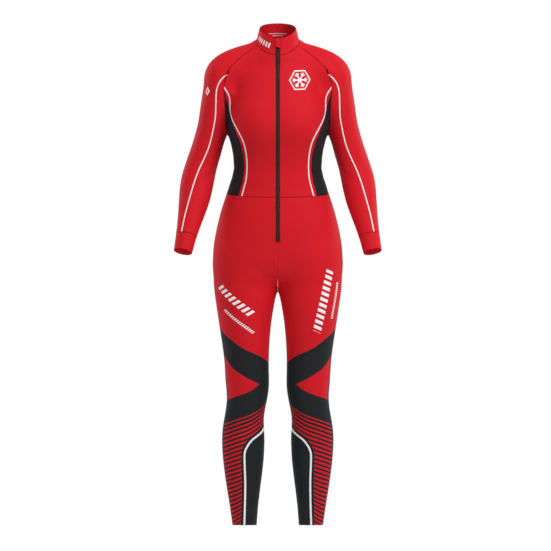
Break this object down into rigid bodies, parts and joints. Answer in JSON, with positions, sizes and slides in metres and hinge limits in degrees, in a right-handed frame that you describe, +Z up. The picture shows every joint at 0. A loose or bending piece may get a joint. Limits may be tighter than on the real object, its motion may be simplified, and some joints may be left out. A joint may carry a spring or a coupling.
{
  "type": "biathlon race suit",
  "caption": "One-piece stretch race suit with a stand collar, front zip, raglan long sleeves, side panels and full-length legs, shaped as if worn.",
  "frame": {"origin": "midway between the shoulders, at the level where the suit hangs from them", "axes": "+Z up towards the collar, -Y is the front with the zip, +X is the wearer's left"},
  "size_m": [0.5852, 0.2654, 1.4206],
  "materials": {
    "red_knit": "red stretch knit with a soft sheen and printed black and white bands",
    "black_knit": "black stretch knit with a soft sheen",
    "zip_tape": "woven polyester tape with a black coil",
    "slider_metal": "black lacquered zinc"
  },
  "bodies": {
    "root": {"front_left": "red_knit", "front_right": "red_knit", "back": "red_knit", "side_left": "black_knit", "side_right": "black_knit", "sleeve_left": "red_knit", "sleeve_right": "red_knit", "sleeve_upper_left": "red_knit", "sleeve_upper_right": "red_knit", "sleeve_lower_left": "red_knit", "sleeve_lower_right": "red_knit", "cuff_left": "red_knit", "cuff_right": "red_knit", "collar": "red_knit", "zip_tape_left": "zip_tape", "zip_tape_right": "zip_tape", "zip_garage": "red_knit", "zip_slider": "slider_metal", "leg_front_left": "red_knit", "leg_front_right": "red_knit", "leg_back_left": "black_knit", "leg_back_right": "black_knit"}
  },
  "joints": []
}
